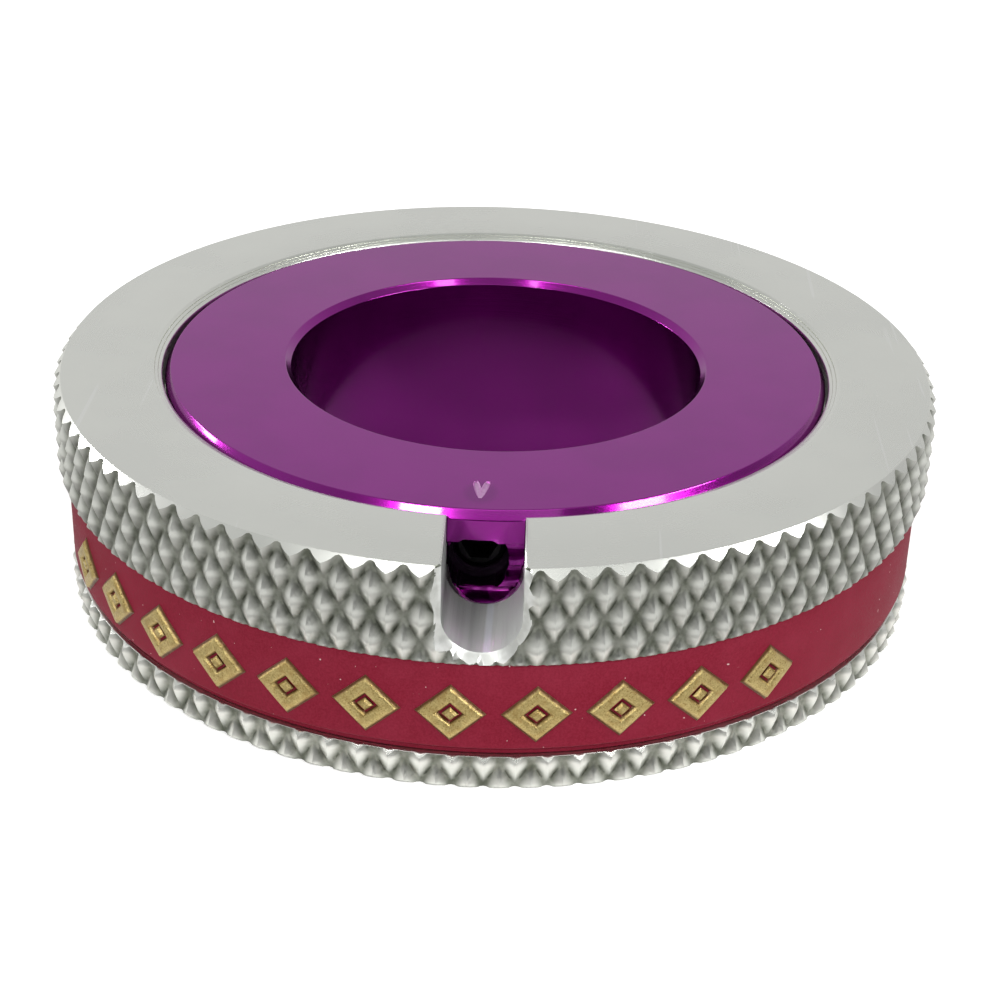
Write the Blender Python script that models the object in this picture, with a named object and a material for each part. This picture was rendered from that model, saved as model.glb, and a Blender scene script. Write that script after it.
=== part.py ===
"""Adjusting collar: a grip ring with a rubber band, screwed onto an anodised hub.

The hub is locked on a round shaft by a set screw, which a hex key reaches through the slot in
the ring. The ring and the hub turn on each other on a fine thread, so one moves along the other.

Frame: metres, +Z up along the bore, origin on the bore axis in the plane the ring stands on.
The set screw points along -Y, and the key slot is a little to its right.
"""
import math

import bmesh
import bpy

MM = 0.001                     # the sizes below are in millimetres

# Grip ring
RING_RADIUS = 30.5             # over the crests of the wide knurled land
LOWER_LAND_RADIUS = 30.0       # over the crests of the narrow land below the band
RING_HEIGHT = 15.5
RING_EDGE_CHAMFER_WIDTH = 0.55
RING_EDGE_CHAMFER_DEPTH = 0.8
LOWER_EDGE_CHAMFER = 0.35
RING_MOUTH_RADIUS = 23.83      # where the inner chamfer meets the top face
RING_MOUTH_CHAMFER_DEPTH = 0.5
RECESS_RADIUS = 23.1           # plain recess that takes the hub's rim
RECESS_DEPTH = 2.4
RING_THREAD_RADIUS = 22.4      # mean radius of the ring's thread, with its clearance
RING_THREAD_BOTTOM = 7.3
RING_SKIRT_RADIUS = 21.9       # plain bore below the thread
RING_FOOT_CHAMFER = 0.5

# Band groove and band
GROOVE_BOTTOM = 2.25
GROOVE_TOP = 9.05
GROOVE_RADIUS = 27.9
BAND_RADIUS = 29.55
CONTACT_GAP = 0.3              # between neighbouring solids

# Raised figures on the band
FIGURE_COUNT = 11
FIGURE_PITCH = 9.9             # degrees round the band
FIGURE_MIDDLE_ANGLE = -102.0   # degrees from +X to the middle figure
FIGURE_WIDTH = 3.9
FIGURE_HEIGHT = 3.6
FIGURE_STROKE = 0.75
FIGURE_MIDDLE_HEIGHT = 5.45
FIGURE_RADIUS_IN = 29.85
FIGURE_RADIUS_OUT = 30.2

# Key slot in the ring
SLOT_WIDTH = 4.8
SLOT_DEPTH = 5.9               # from the ring's top face to the slot's round floor
SLOT_ANGLE = -88.8             # degrees from +X
SLOT_ARC_STEPS = 12

# Hub
HUB_SET_BACK = 0.15            # each of the hub's faces is this far inside the ring's
HUB_RIM_RADIUS = 22.9
HUB_RIM_DEPTH = 1.95           # from the hub's top face to the rim's underside
HUB_RIM_CHAMFER_WIDTH = 0.4
HUB_RIM_CHAMFER_DEPTH = 0.6
HUB_THREAD_RADIUS = 22.1       # mean radius of the hub's thread
HUB_THREAD_BOTTOM = 7.6
HUB_SKIRT_RADIUS = 21.3
HUB_BORE_RADIUS = 14.26
HUB_BORE_CHAMFER = 0.42

# Friction ring and its groove in the hub's skirt
CORD_RADIUS = 0.75
CORD_CENTRE_RADIUS = 20.85
CORD_HEIGHT = 2.6
CORD_GROOVE_WIDTH = 2.1
CORD_GROOVE_RADIUS = 19.8

# Set screw (M4) and the soft pad in front of it
SCREW_HEIGHT = 11.45           # of its axis
SCREW_HOLE_RADIUS = 2.0
SCREW_HOLE_MOUTH_RADIUS = 2.3
SCREW_RADIUS = 1.7
SCREW_CHAMFER = 0.3
SCREW_OUTER_END = 19.8         # distances from the bore axis
SCREW_INNER_END = 15.8
PAD_OUTER_END = 15.5
PAD_INNER_END = 14.5
PAD_CHAMFER = 0.35
SOCKET_ACROSS_FLATS = 2.0
SOCKET_DEPTH = 1.8

# Facets
RING_STEPS = 96
CORD_STEPS = 72
CORD_FACETS = 8
SCREW_STEPS = 24
HOLE_STEPS = 32
SHARP_ANGLE = math.radians(30)


def clear_scene():
    """Remove every object the file opened with."""
    for obj in list(bpy.data.objects):
        bpy.data.objects.remove(obj, do_unlink=True)


def make_material(name, colour, roughness, metallic):
    """A Principled material with one colour."""
    material = bpy.data.materials.new(name)
    material.use_nodes = True
    shader = material.node_tree.nodes["Principled BSDF"]
    shader.inputs["Base Color"].default_value = (*colour, 1.0)
    shader.inputs["Roughness"].default_value = roughness
    shader.inputs["Metallic"].default_value = metallic
    return material


def add_object(name, bm, material=None):
    """Put a bmesh into the scene as one object, shaded smooth between its sharp edges."""
    bmesh.ops.recalc_face_normals(bm, faces=bm.faces)
    mesh = bpy.data.meshes.new(name)
    bm.to_mesh(mesh)
    bm.free()
    mesh.shade_smooth()
    mesh.set_sharp_from_angle(angle=SHARP_ANGLE)
    if material is not None:
        mesh.materials.append(material)
    obj = bpy.data.objects.new(name, mesh)
    bpy.context.collection.objects.link(obj)
    return obj


def turned(name, profile, steps, material=None):
    """Spin a closed profile of (radius, height) points, in millimetres, round Z."""
    bm = bmesh.new()
    verts = [bm.verts.new((radius * MM, 0.0, height * MM)) for radius, height in profile]
    edges = [bm.edges.new((verts[i - 1], verts[i])) for i in range(len(verts))]
    bmesh.ops.spin(
        bm, geom=verts + edges, cent=(0, 0, 0), axis=(0, 0, 1),
        steps=steps, angle=math.tau, use_merge=True,
    )
    return add_object(name, bm, material)


def turned_solid(name, profile, steps, material=None):
    """Spin an open profile whose two ends lie on the Z axis."""
    bm = bmesh.new()
    verts = [bm.verts.new((radius * MM, 0.0, height * MM)) for radius, height in profile]
    edges = [bm.edges.new(pair) for pair in zip(verts, verts[1:])]
    bmesh.ops.spin(
        bm, geom=verts + edges, cent=(0, 0, 0), axis=(0, 0, 1),
        steps=steps, angle=math.tau, use_merge=True,
    )
    bmesh.ops.remove_doubles(bm, verts=bm.verts, dist=1e-6)
    return add_object(name, bm, material)


def prism(name, outline, near, far):
    """Extrude a closed outline of (x, z) points from y = -near to y = -far."""
    bm = bmesh.new()
    base = bm.faces.new([bm.verts.new((x * MM, -near * MM, z * MM)) for x, z in outline])
    extruded = bmesh.ops.extrude_face_region(bm, geom=[base])
    moved = [item for item in extruded["geom"] if isinstance(item, bmesh.types.BMVert)]
    bmesh.ops.translate(bm, verts=moved, vec=(0, (near - far) * MM, 0))
    return add_object(name, bm)


def cut(target, cutter):
    """Subtract cutter from target, and leave the cutter as a hidden guide."""
    cutter.hide_render = True
    cutter.display_type = "WIRE"
    modifier = target.modifiers.new("cut_" + cutter.name, "BOOLEAN")
    modifier.operation = "DIFFERENCE"
    modifier.solver = "EXACT"
    modifier.object = cutter


def point_along_y(obj, height=0.0):
    """Turn a piece made along +Z so that it runs along -Y at the given height."""
    obj.rotation_euler = (math.radians(90), 0, 0)
    obj.location = (0, 0, height * MM)


def make_ring(material):
    """The grip ring, with its band groove, recess, thread bore and key slot."""
    recess_floor = RING_HEIGHT - RECESS_DEPTH
    profile = [
        (RING_SKIRT_RADIUS + RING_FOOT_CHAMFER, 0),
        (LOWER_LAND_RADIUS - LOWER_EDGE_CHAMFER, 0),
        (LOWER_LAND_RADIUS, LOWER_EDGE_CHAMFER),
        (LOWER_LAND_RADIUS, GROOVE_BOTTOM),
        (GROOVE_RADIUS, GROOVE_BOTTOM),
        (GROOVE_RADIUS, GROOVE_TOP),
        (RING_RADIUS, GROOVE_TOP),
        (RING_RADIUS, RING_HEIGHT - RING_EDGE_CHAMFER_DEPTH),
        (RING_RADIUS - RING_EDGE_CHAMFER_WIDTH, RING_HEIGHT),
        (RING_MOUTH_RADIUS, RING_HEIGHT),
        (RECESS_RADIUS, RING_HEIGHT - RING_MOUTH_CHAMFER_DEPTH),
        (RECESS_RADIUS, recess_floor),
        (RING_THREAD_RADIUS, recess_floor),
        (RING_THREAD_RADIUS, RING_THREAD_BOTTOM),
        (RING_SKIRT_RADIUS, RING_THREAD_BOTTOM),
        (RING_SKIRT_RADIUS, RING_FOOT_CHAMFER),
    ]
    ring = turned("knurled_ring", profile, RING_STEPS, material)
    cut(ring, make_slot_cutter())
    return ring


def make_slot_cutter():
    """A U-shaped bar that opens the slot upwards and through the ring's wall."""
    half = SLOT_WIDTH / 2
    centre = RING_HEIGHT - SLOT_DEPTH + half
    top = RING_HEIGHT + half
    arc = [math.pi + math.pi * i / SLOT_ARC_STEPS for i in range(SLOT_ARC_STEPS + 1)]
    outline = [(half * math.cos(a), centre + half * math.sin(a)) for a in arc]
    outline += [(half, top), (-half, top)]
    cutter = prism("slot_cutter", outline, near=RING_SKIRT_RADIUS - 2, far=RING_RADIUS + 2)
    cutter.rotation_euler = (0, 0, math.radians(SLOT_ANGLE + 90))
    return cutter


def make_band(material):
    """The rubber band in the ring's groove."""
    inner = GROOVE_RADIUS + CONTACT_GAP
    low = GROOVE_BOTTOM + CONTACT_GAP
    high = GROOVE_TOP - CONTACT_GAP
    edge = CONTACT_GAP / 2
    profile = [
        (inner, low),
        (BAND_RADIUS - edge, low),
        (BAND_RADIUS, low + edge),
        (BAND_RADIUS, high - edge),
        (BAND_RADIUS - edge, high),
        (inner, high),
    ]
    return turned("grip_band", profile, RING_STEPS, material)


def lozenge(bm, radius, middle, scale):
    """Add the corners of a lozenge round the middle angle, on a cylinder of that radius."""
    half_angle = scale * FIGURE_WIDTH / 2 / FIGURE_RADIUS_OUT
    half_height = scale * FIGURE_HEIGHT / 2
    corners = [
        (middle + half_angle, FIGURE_MIDDLE_HEIGHT),
        (middle, FIGURE_MIDDLE_HEIGHT + half_height),
        (middle - half_angle, FIGURE_MIDDLE_HEIGHT),
        (middle, FIGURE_MIDDLE_HEIGHT - half_height),
    ]
    return [
        bm.verts.new((radius * MM * math.cos(angle), radius * MM * math.sin(angle), height * MM))
        for angle, height in corners
    ]


def make_figure(name, middle, material):
    """One raised figure of the frieze: a lozenge frame, curved with the band."""
    inradius = FIGURE_WIDTH * FIGURE_HEIGHT / 2 / math.hypot(FIGURE_WIDTH, FIGURE_HEIGHT)
    hole_scale = 1 - FIGURE_STROKE / inradius
    bm = bmesh.new()
    loops = [
        lozenge(bm, FIGURE_RADIUS_IN, middle, 1.0),
        lozenge(bm, FIGURE_RADIUS_OUT, middle, 1.0),
        lozenge(bm, FIGURE_RADIUS_OUT, middle, hole_scale),
        lozenge(bm, FIGURE_RADIUS_IN, middle, hole_scale),
    ]
    for first, second in zip(loops, loops[1:] + loops[:1]):
        for i in range(len(first)):
            bm.faces.new((first[i - 1], first[i], second[i], second[i - 1]))
    return add_object(name, bm, material)


def make_figures(material):
    """The frieze of raised figures along the front of the band."""
    for i in range(FIGURE_COUNT):
        offset = (i - (FIGURE_COUNT - 1) / 2) * FIGURE_PITCH
        make_figure(f"gilt_figure_{i + 1:02d}", math.radians(FIGURE_MIDDLE_ANGLE + offset), material)


def make_hub(material):
    """The threaded hub: rim, thread, skirt with the friction ring's groove, bore and hole."""
    low = HUB_SET_BACK
    high = RING_HEIGHT - HUB_SET_BACK
    rim_floor = high - HUB_RIM_DEPTH
    groove_low = CORD_HEIGHT - CORD_GROOVE_WIDTH / 2
    groove_high = CORD_HEIGHT + CORD_GROOVE_WIDTH / 2
    chamfer = HUB_BORE_CHAMFER
    profile = [
        (HUB_BORE_RADIUS + chamfer, low),
        (HUB_SKIRT_RADIUS - chamfer, low),
        (HUB_SKIRT_RADIUS, low + chamfer),
        (HUB_SKIRT_RADIUS, groove_low),
        (CORD_GROOVE_RADIUS, groove_low),
        (CORD_GROOVE_RADIUS, groove_high),
        (HUB_SKIRT_RADIUS, groove_high),
        (HUB_SKIRT_RADIUS, HUB_THREAD_BOTTOM),
        (HUB_THREAD_RADIUS, HUB_THREAD_BOTTOM),
        (HUB_THREAD_RADIUS, rim_floor),
        (HUB_RIM_RADIUS, rim_floor),
        (HUB_RIM_RADIUS, high - HUB_RIM_CHAMFER_DEPTH),
        (HUB_RIM_RADIUS - HUB_RIM_CHAMFER_WIDTH, high),
        (HUB_BORE_RADIUS + chamfer, high),
        (HUB_BORE_RADIUS, high - chamfer),
        (HUB_BORE_RADIUS, low + chamfer),
    ]
    hub = turned("threaded_hub", profile, RING_STEPS, material)
    cut(hub, make_hole_cutter())
    return hub


def make_hole_cutter():
    """The radial screw hole, with a countersunk mouth."""
    spread = SCREW_HOLE_MOUTH_RADIUS - SCREW_HOLE_RADIUS
    mouth = HUB_THREAD_RADIUS
    profile = [
        (0, HUB_BORE_RADIUS - 2),
        (SCREW_HOLE_RADIUS, HUB_BORE_RADIUS - 2),
        (SCREW_HOLE_RADIUS, mouth - spread),
        (SCREW_HOLE_MOUTH_RADIUS, mouth),
        (SCREW_HOLE_MOUTH_RADIUS, HUB_RIM_RADIUS + 2),
        (0, HUB_RIM_RADIUS + 2),
    ]
    cutter = turned_solid("hole_cutter", profile, HOLE_STEPS)
    point_along_y(cutter, SCREW_HEIGHT)
    return cutter


def make_friction_ring(material):
    """The rubber cord ring between the hub's skirt and the ring."""
    facet = math.tau / CORD_FACETS
    profile = [
        (CORD_CENTRE_RADIUS + CORD_RADIUS * math.cos(facet * i),
         CORD_HEIGHT + CORD_RADIUS * math.sin(facet * i))
        for i in range(CORD_FACETS)
    ]
    return turned("friction_ring", profile, CORD_STEPS, material)


def make_screw(material):
    """The set screw, its origin on its own axis at its inner end."""
    length = SCREW_OUTER_END - SCREW_INNER_END
    profile = [
        (0, 0),
        (SCREW_RADIUS - SCREW_CHAMFER, 0),
        (SCREW_RADIUS, SCREW_CHAMFER),
        (SCREW_RADIUS, length - SCREW_CHAMFER),
        (SCREW_RADIUS - SCREW_CHAMFER, length),
        (0, length),
    ]
    screw = turned_solid("set_screw", profile, SCREW_STEPS, material)
    place_on_screw_axis(screw, SCREW_INNER_END)
    cut(screw, make_socket_cutter())
    return screw


def make_socket_cutter():
    """A hexagonal bar that opens the key socket in the screw's outer end."""
    corner = SOCKET_ACROSS_FLATS / math.sqrt(3)
    outline = [
        (corner * math.cos(math.tau * i / 6), SCREW_HEIGHT + corner * math.sin(math.tau * i / 6))
        for i in range(6)
    ]
    return prism("socket_cutter", outline, near=SCREW_OUTER_END - SOCKET_DEPTH,
                 far=SCREW_OUTER_END + 1)


def make_pad(material):
    """The soft pad that the screw pushes against the shaft."""
    length = PAD_OUTER_END - PAD_INNER_END
    profile = [
        (0, 0),
        (SCREW_RADIUS - PAD_CHAMFER, 0),
        (SCREW_RADIUS, PAD_CHAMFER),
        (SCREW_RADIUS, length),
        (0, length),
    ]
    pad = turned_solid("brass_pad", profile, SCREW_STEPS, material)
    place_on_screw_axis(pad, PAD_INNER_END)
    return pad


def place_on_screw_axis(obj, inner_end):
    """Lay a piece along -Y on the screw's axis, its inner end that far from the bore axis."""
    point_along_y(obj, SCREW_HEIGHT)
    obj.location.y = -inner_end * MM


def main():
    clear_scene()
    aluminium = make_material("aluminium", (0.80, 0.80, 0.78), 0.28, 1.0)
    purple = make_material("purple_anodised", (0.22, 0.03, 0.26), 0.28, 1.0)
    maroon = make_material("maroon_rubber", (0.19, 0.02, 0.04), 0.55, 0.0)
    gilt = make_material("gilt", (0.45, 0.31, 0.10), 0.42, 1.0)
    black_rubber = make_material("black_rubber", (0.02, 0.02, 0.02), 0.7, 0.0)
    black_steel = make_material("black_steel", (0.03, 0.03, 0.035), 0.4, 1.0)
    brass = make_material("brass", (0.60, 0.43, 0.16), 0.35, 1.0)
    make_ring(aluminium)
    make_band(maroon)
    make_figures(gilt)
    make_friction_ring(black_rubber)
    make_hub(purple)
    make_pad(brass)
    make_screw(black_steel)


main()
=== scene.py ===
"""Looks of the adjusting collar: knurled ring, anodised hub, rubber band and gilt figures.

Sizes are in metres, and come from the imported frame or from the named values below.
"""
import math

import bmesh
import bpy
import numpy as np
from mathutils import Matrix, Vector


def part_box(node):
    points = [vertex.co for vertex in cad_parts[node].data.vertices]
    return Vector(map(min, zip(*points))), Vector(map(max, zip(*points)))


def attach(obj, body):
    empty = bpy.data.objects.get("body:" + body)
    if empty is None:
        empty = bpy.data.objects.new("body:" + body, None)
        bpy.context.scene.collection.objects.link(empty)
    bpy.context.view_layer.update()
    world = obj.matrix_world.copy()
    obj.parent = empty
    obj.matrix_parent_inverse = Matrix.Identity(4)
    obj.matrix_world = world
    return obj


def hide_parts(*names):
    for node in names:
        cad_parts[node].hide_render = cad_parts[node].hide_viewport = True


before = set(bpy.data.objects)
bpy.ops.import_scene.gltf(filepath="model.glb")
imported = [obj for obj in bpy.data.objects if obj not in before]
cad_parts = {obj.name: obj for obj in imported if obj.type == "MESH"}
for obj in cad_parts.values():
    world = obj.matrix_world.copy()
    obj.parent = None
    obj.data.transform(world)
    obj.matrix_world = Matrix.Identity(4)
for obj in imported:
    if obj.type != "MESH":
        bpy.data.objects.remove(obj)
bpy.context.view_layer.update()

MM = 0.001

# Sizes of the CAD solids that their boxes don't show
BAND_CLEARANCE = 0.3 * MM      # between the band and its groove
SLOT_WIDTH = 4.8 * MM
SLOT_DEPTH = 5.9 * MM
SLOT_ANGLE = math.radians(-88.8)
RECESS_RADIUS = 23.1 * MM      # the ring's recess, round the hub's rim
RECESS_DEPTH = 2.4 * MM
MOUTH_RADIUS = 23.83 * MM      # the recess's chamfered mouth
MOUTH_DEPTH = 0.36 * MM
FOOT_CHAMFER = 0.5 * MM        # the ring's lower edges, inside and outside
FOOT_EDGE_CHAMFER = 0.35 * MM
THREAD_FLOOR = 7.3 * MM        # the ring's thread ends here, and the hub's a little above
HUB_THREAD_FLOOR = 7.6 * MM
RIM_DEPTH = 1.95 * MM
RIM_CHAMFER_WIDTH = 0.4 * MM
RIM_CHAMFER_DEPTH = 0.6 * MM
BORE_CHAMFER = 0.42 * MM
SKIRT_RADIUS = 21.3 * MM
SKIRT_CHAMFER = 0.4 * MM
CORD_GROOVE_RADIUS = 19.8 * MM
CORD_CLEARANCE = 0.2 * MM      # above and below the cord ring in its groove
SCREW_HOLE_RADIUS = 2.0 * MM
FIGURE_WIDTH = 3.9 * MM

# Knurl and ring edges
KNURL_TEETH = 96
KNURL_HELIX = math.radians(30.5)
KNURL_DEPTH = 0.55 * MM
KNURL_BLEND = 5.0      # higher for sharper ridges between a tooth's four flanks
KNURL_ROUNDING = 1.15
COLUMNS_PER_TOOTH = 10
EDGE_CHAMFER_WIDTH = 0.61 * MM
EDGE_CHAMFER_DEPTH = 0.70 * MM
LAND_EDGE_WIDTH = 0.42 * MM
LAND_EDGE_DEPTH = 0.34 * MM
LOWER_LAND_SET_IN = 0.5 * MM
CHAMFER_ROW = 0.1 * MM

# Turned mouth of the ring's recess: how far its edge wanders, and its tool rings as
# (share of the chamfer's width, how deep)
MOUTH_WANDER = 0.035 * MM
MOUTH_WAVES = (3, 8, 19, 41, 67)
MOUTH_RINGS = (
    (0.06, 0.0), (0.30, 0.0), (0.34, 0.05 * MM), (0.38, 0.0),
    (0.62, 0.0), (0.66, 0.05 * MM), (0.70, 0.0), (0.94, 0.0),
)

# Thread between ring and hub, right-handed
THREAD_PITCH = 1.5 * MM
THREAD_CREST = 22.5 * MM
THREAD_ROOT = 21.65 * MM
THREAD_CLEARANCE = 0.2 * MM
THREAD_ROW = 0.1 * MM

# Hub
HUB_COLUMNS = 480
EDGE_FILLET = 0.035 * MM
ARROW_RADIUS = 19.9 * MM
ARROW_LENGTH = 2.1 * MM
ARROW_SPREAD = 0.40 * MM
ARROW_GROOVE = 0.46 * MM
ARROW_DEPTH = 0.10 * MM

# Key slot
SLOT_FLARE = 0.95 * MM
SLOT_TOP_FLARE = 0.12 * MM
PAINTED_GLINT_STRIPE = 0.95 * MM    # where a painted lamp highlight runs along the slot's floor
SLOT_INNER_END = 24.0 * MM     # inside this the slot's floor falls away to the thread
SLOT_INNER_FALL = 1.1 * MM

# Screw
SCREW_PITCH = 0.7 * MM
SCREW_THREAD_DEPTH = 0.30 * MM
HOLE_PLAIN_FROM = 20.4 * MM    # outside this the hole has no thread
HOLE_INSET = 0.05 * MM
SOCKET_FLATS = 2.0 * MM        # across the flats of the screw's hexagonal socket
SOCKET_DEPTH = 1.8 * MM

# Band and figures
BAND_PROUD = 0.25 * MM
BAND_EDGE = 0.22 * MM          # rounding of the face's edges
BAND_FOOT = 0.62 * MM          # from the groove's lower wall to the face
# The lip under the face: (how far below the face, how high above the groove's lower wall)
BAND_LIP = (
    (0.62 * MM, 0.03 * MM), (0.5 * MM, 0.1 * MM), (0.5 * MM, 0.36 * MM),
    (0.58 * MM, 0.4 * MM), (1.1 * MM, 0.42 * MM),
)
FIGURE_RISE = 0.3 * MM
FIGURE_STROKE = 0.75 * MM
FIGURE_BEVEL = 0.16 * MM
FIGURE_SKIRT = 0.15 * MM
FIGURE_CORE = 0.26

SMOOTH_ANGLE = math.radians(32)
RING_SMOOTH_ANGLE = math.radians(42)

# Camera, placed against the grip ring
CAMERA_BACK = 4.3399           # in ring radii, from the bore axis
CAMERA_UP = 1.9379             # in ring radii, above the top face
CAMERA_AZIMUTH = math.radians(2.0)
CAMERA_YAW = 0.0043
CAMERA_PITCH = 0.4899
CAMERA_ROLL = 0.0302
CAMERA_FOCAL = 2.0698          # focal length over the picture's width
SENSOR_WIDTH = 36              # in millimetres, as Blender wants it

# Soft boxes, all at the same distance: name, azimuth and elevation in degrees, width, height, watts
LAMP_DISTANCE = 0.6
LAMPS = (
    ("front_left_lamp", -113, 37, 0.12, 0.05, 0.85),
    ("front_panel", -88, 45, 0.42, 0.13, 0.19),
    ("front_right_lamp", -26, 33, 0.34, 0.05, 1.5),
    ("left_lamp", 162, 14, 0.14, 0.05, 0.55),
    ("ceiling_left_lamp", 200, 73, 0.30, 0.05, 0.35),
    ("ceiling_right_lamp", -17, 67, 0.30, 0.05, 0.35),
)

# Brightness of the surroundings in reflections: darkest (-1) in front and to the right
HORIZON_TURN = math.radians(26)
HORIZON = ((-1.0, 0.03), (-0.86, 0.04), (-0.5, 0.16), (-0.05, 0.46), (0.4, 0.60), (1.0, 0.66))
CEILING_SHARE = ((-1.0, 0.0), (0.52, 0.0), (0.74, 1.0))
CEILING_COLOUR = (0.42, 0.43, 0.42)
FILL_COLOUR = (0.80, 0.80, 0.79)
BACKDROP_COLOUR = (1.0, 1.0, 1.0)
FLOOR_WIDTH = 3.0
FLOOR_SEEN = (1.0, 1.0, 1.0)
# Brightness of the floor in reflections, by distance from the bore axis: painted light at the ring's
# foot and a painted shadow band just beyond it
FLOOR_REACH = 60 * MM
FLOOR_REFLECTED = (
    (0.0, 0.44), (28 * MM, 0.44), (30 * MM, 1.0), (33.5 * MM, 1.0),
    (36 * MM, 0.30), (41 * MM, 0.30), (48 * MM, 0.54),
)
FLOOR_GLOW = 0.2

# A Mix node's colour inputs and output have no names of their own
MIX_COLOUR_A, MIX_COLOUR_B, MIX_COLOUR_OUT = 6, 7, 2


def node_radius(name):
    """Largest distance of a node's points from the bore axis."""
    return max(math.hypot(v.co.x, v.co.y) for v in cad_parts[name].data.vertices)


def node_inner_radius(name):
    """Smallest distance of a node's points from the bore axis."""
    return min(math.hypot(v.co.x, v.co.y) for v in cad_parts[name].data.vertices)


def node_levels(name):
    """Lowest and highest point of a node."""
    low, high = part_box(name)
    return low.z, high.z


# ---------------------------------------------------------------- mesh building

def new_object(name, mesh):
    obj = bpy.data.objects.new(name, mesh)
    bpy.context.scene.collection.objects.link(obj)
    return obj


def face_outwards(mesh):
    """Make every face's normal point out of the closed mesh."""
    bm = bmesh.new()
    bm.from_mesh(mesh)
    bmesh.ops.recalc_face_normals(bm, faces=bm.faces)
    if bm.calc_volume(signed=True) < 0:
        bmesh.ops.reverse_faces(bm, faces=bm.faces)
    bm.to_mesh(mesh)
    bm.free()


def shade(mesh, angle=SMOOTH_ANGLE):
    mesh.shade_smooth()
    mesh.set_sharp_from_angle(angle=angle)


def turned(name, rows, columns, closed=True):
    """A turned body: each row is (radius, height), either of them a number or one per column.

    A closed body's last row joins its first. An open one is capped by a point at each end.
    Between two rows of varying radius each face is split along its deeper diagonal, which
    keeps the bottoms of helical grooves straight.
    """
    angle = np.arange(columns) * math.tau / columns
    points = []
    for radius, height in rows:
        ring = np.empty((columns, 3))
        ring[:, 0] = radius * np.cos(angle)
        ring[:, 1] = radius * np.sin(angle)
        ring[:, 2] = height
        points.append(ring)
    count = len(rows)
    verts = np.concatenate(points)
    column = np.arange(columns)
    following = (column + 1) % columns
    faces = []
    last = count if closed else count - 1
    for row in range(last):
        below, above = rows[row][0], rows[(row + 1) % count][0]
        corners = np.stack([
            row * columns + column, row * columns + following,
            (row + 1) % count * columns + following, (row + 1) % count * columns + column,
        ], axis=1)
        if np.ndim(below) and np.ndim(above):
            other = below + np.roll(above, -1) > np.roll(below, -1) + above + 1e-9
            corners[other] = np.roll(corners[other], -1, axis=1)
            faces += corners[:, [0, 1, 2]].tolist() + corners[:, [0, 2, 3]].tolist()
        else:
            faces += corners.tolist()
    verts = verts.tolist()
    if not closed:
        for row, height in ((0, rows[0][1]), (count - 1, rows[-1][1])):
            verts.append((0.0, 0.0, float(np.mean(height))))
            centre = len(verts) - 1
            base = row * columns
            faces += [(centre, base + i, base + (i + 1) % columns) for i in range(columns)]
    mesh = bpy.data.meshes.new(name)
    mesh.from_pydata(verts, [], faces)
    face_outwards(mesh)
    return new_object(name, mesh)


def cut(target, *cutters):
    """Subtract the cutters from the target, for good."""
    for cutter in cutters:
        modifier = target.modifiers.new("cut", "BOOLEAN")
        modifier.operation = "DIFFERENCE"
        modifier.solver = "MANIFOLD"
        modifier.object = cutter
    bpy.context.view_layer.update()
    evaluated = target.evaluated_get(bpy.context.evaluated_depsgraph_get())
    mesh = bpy.data.meshes.new_from_object(evaluated)
    target.modifiers.clear()
    target.data = mesh
    for cutter in cutters:
        bpy.data.objects.remove(cutter)


def skin(bm, rings):
    """Bridge each ring of vertices to the next."""
    for first, second in zip(rings, rings[1:]):
        for i in range(len(first)):
            bm.faces.new((first[i - 1], first[i], second[i], second[i - 1]))


def loft(name, loops):
    """A closed solid through loops of the same number of points, capped at both ends."""
    bm = bmesh.new()
    rings = [[bm.verts.new(p) for p in loop] for loop in loops]
    skin(bm, rings)
    bm.faces.new(rings[0])
    bm.faces.new(rings[-1])
    bmesh.ops.recalc_face_normals(bm, faces=bm.faces)
    mesh = bpy.data.meshes.new(name)
    bm.to_mesh(mesh)
    bm.free()
    return new_object(name, mesh)


def steps(start, end, size):
    """Evenly spaced values from start to end, about size apart."""
    count = max(1, round(abs(end - start) / size))
    return [start + (end - start) * i / count for i in range(count + 1)]


def filleted(profile, fillet):
    """Round each inner point of an open (radius, height) profile, so that smooth shading stays crisp.

    Every corner becomes two points a fillet apart, with a guard point on each side of them.
    """
    points = [Vector((float(radius), float(height))) for radius, height in profile]
    rows = [tuple(points[0])]
    for before, corner, after in zip(points, points[1:], points[2:]):
        back = (before - corner).normalized() * fillet
        on = (after - corner).normalized() * fillet
        middle = corner + (back + on) * 0.2
        for point in (corner + back * 2.2, corner + back, middle, corner + on, corner + on * 2.2):
            rows.append(tuple(point))
    rows.append(tuple(points[-1]))
    return rows


# ---------------------------------------------------------------- shapes that repeat

def triangle_wave(x):
    """1 at whole numbers, 0 half way between them."""
    return np.abs(2 * (x - np.floor(x)) - 1)


def knurl_lead(crest):
    """Height of one diamond of the knurl."""
    return math.tau * crest / KNURL_TEETH / math.tan(KNURL_HELIX)


def knurl_radius(crest, angle, height):
    """Radius of a diamond knurl: two crossing sets of helical grooves."""
    lead = knurl_lead(crest)
    across = angle * KNURL_TEETH / math.tau
    along = height / lead
    into_one = (1 - triangle_wave(across + along)) ** KNURL_BLEND
    into_other = (1 - triangle_wave(across - along)) ** KNURL_BLEND
    depth = np.minimum(1, into_one + into_other) ** (KNURL_ROUNDING / KNURL_BLEND)
    return crest - KNURL_DEPTH * depth


def cone_radius(crest, top, width, depth, height):
    """Radius of the chamfer under an upper edge, the given width and depth."""
    return crest - width * (1 - (top - height) / depth)


def thread_radius(crest, root, pitch, angle, height):
    """Radius of a right-hand thread with rounded crests and roots."""
    wave = triangle_wave(height / pitch - angle / math.tau)
    profile = np.clip((wave - 0.2) / 0.62, 0, 1)
    profile = profile * profile * (3 - 2 * profile)
    return root + (crest - root) * profile


# ---------------------------------------------------------------- the grip ring

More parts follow.
